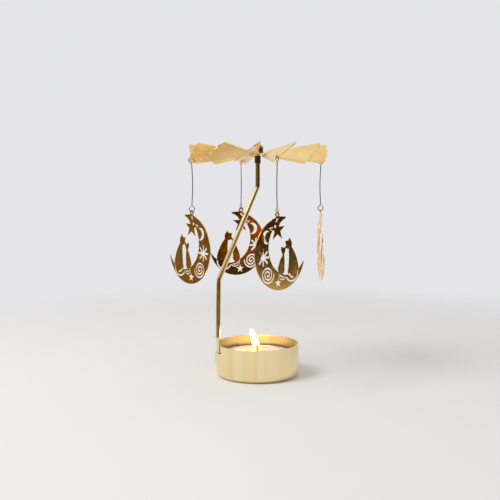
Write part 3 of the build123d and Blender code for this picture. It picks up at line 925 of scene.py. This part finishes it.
def make_flame():
    """A thin pale shell round a bright core; both lean and rise with the tealight."""
    shell = finished(lathe(flame_profile(2.2 * MM, 0.0, 1.0), 32, flame_bend), "flame_shell", "tealight")
    shell.data.materials.append(flame_material(
        "flame_shell", 2.6, 0.12, 0.16, 0.50,
        [(0.0, (0.95, 0.60, 0.20)), (0.4, (1.0, 0.76, 0.34)), (1.0, (1.0, 0.84, 0.48))]))
    core = finished(lathe(flame_profile(1.6 * MM, 0.30, 0.98), 32, flame_bend), "flame_core", "tealight")
    core.data.materials.append(flame_material(
        "flame_core", 70.0, 0.30, 0.0, 1.0,
        [(0.0, (1.0, 0.45, 0.12)), (0.3, (1.0, 0.58, 0.22)), (1.0, (1.0, 0.64, 0.28))]))


make_flame()


# Stage
def floor_material():
    """Pale matt floor that fades into the backdrop, nearer in mirror rays than for the camera."""
    material, tree = new_material("floor_pale")
    plain = coordinates(tree)
    radius = from_axis(tree, plain)
    path = add(tree, "ShaderNodeLightPath")
    shown = mixed(tree, "FLOAT", path.outputs["Is Glossy Ray"],
                  falling(tree, radius, 0.20, 0.42), falling(tree, radius, 0.14, 0.30))
    cloud = noise(tree, plain, 9.0, 2.0)
    colour = ramp(tree, cloud, [(0.3, (0.862, 0.850, 0.848)), (0.7, (0.880, 0.868, 0.866))])
    diffuse = add(tree, "ShaderNodeBsdfDiffuse")
    feed(tree, colour, diffuse.inputs["Color"])
    clear = add(tree, "ShaderNodeBsdfTransparent")
    show(tree, mixed_shaders(tree, shown, clear.outputs["BSDF"], diffuse.outputs["BSDF"]))
    return material


def make_floor():
    mesh = bmesh.new()
    bmesh.ops.create_circle(mesh, cap_ends=True, segments=96, radius=0.44)
    data = bpy.data.meshes.new("floor")
    mesh.to_mesh(data)
    mesh.free()
    data.materials.append(floor_material())
    floor = bpy.data.objects.new("floor", data)
    bpy.context.scene.collection.objects.link(floor)


def mirrored_room(tree):
    """What the metal mirrors: a bright wall, ceiling and table, and a room that is dark in front."""
    direction = add(tree, "ShaderNodeTexCoord").outputs["Generated"]
    height = height_of(tree, direction)
    rightwards = facing(tree, direction, picture_right)
    wall = rising(tree, facing(tree, direction, picture_away), 0.20, 0.60)
    ceiling = rising(tree, height, 0.12, 0.50)
    ground = falling(tree, height, -0.45, -0.20)
    beside = rising(tree, rightwards, 0.88, 0.97)
    table = combine(tree, "MULTIPLY", beside, falling(tree, height, -0.150, -0.112))
    bright = wall
    for other in (ceiling, ground, table):
        bright = combine(tree, "MAXIMUM", bright, other)
    dark = ramp(tree, rising(tree, rightwards, -0.5, 0.6),
                [(0.0, (0.170, 0.105, 0.050)), (1.0, (0.028, 0.017, 0.008))])
    return mixed(tree, "RGBA", bright, dark, (0.90, 0.89, 0.88, 1))


def background(tree, colour):
    node = add(tree, "ShaderNodeBackground")
    feed(tree, colour, node.inputs["Color"])
    return node.outputs["Background"]


def make_world():
    """Pale room: the camera sees the backdrop, mirror rays the room, and all other rays an even light."""
    world = bpy.data.worlds.new("room")
    bpy.context.scene.world = world
    world.use_nodes = True
    tree = world.node_tree
    tree.nodes.clear()
    backdrop = background(tree, (0.785, 0.785, 0.812, 1))
    ambient = background(tree, (0.62, 0.61, 0.60, 1))
    room = background(tree, mirrored_room(tree))
    path = add(tree, "ShaderNodeLightPath")
    unseen = mixed_shaders(tree, path.outputs["Is Glossy Ray"], ambient, room)
    show(tree, mixed_shaders(tree, path.outputs["Is Camera Ray"], unseen, backdrop), "ShaderNodeOutputWorld")


def make_lamp(name, place, target, size, energy):
    """Round lamp that looks at a target."""
    lamp = bpy.data.lights.new(name, "AREA")
    lamp.shape = "DISK"
    lamp.size = size
    lamp.energy = energy
    holder = bpy.data.objects.new(name, lamp)
    holder.location = place
    holder.rotation_euler = (Vector(target) - Vector(place)).to_track_quat("-Z", "Y").to_euler()
    bpy.context.scene.collection.objects.link(holder)


def make_camera(place, down, heading):
    """Camera that looks down by an angle, turned about the upright axis by a heading, in degrees."""
    lens = bpy.data.cameras.new("camera")
    lens.lens = 57.6
    lens.sensor_width = 36.0
    lens.clip_start = 0.01
    camera = bpy.data.objects.new("camera", lens)
    camera.location = place
    camera.rotation_euler = Euler((math.radians(90 - down), 0, math.radians(heading)))
    bpy.context.scene.collection.objects.link(camera)
    bpy.context.scene.camera = camera


make_floor()
make_world()
make_lamp("key", place=(-0.62, -0.10, 0.75), target=(0, 0, 0.05), size=0.5, energy=4.0)
make_camera(place=(-0.1629, -0.4084, 0.10715), down=4.85, heading=-21.2)
bpy.context.scene.view_settings.view_transform = "Standard"


bpy.context.view_layer.update()
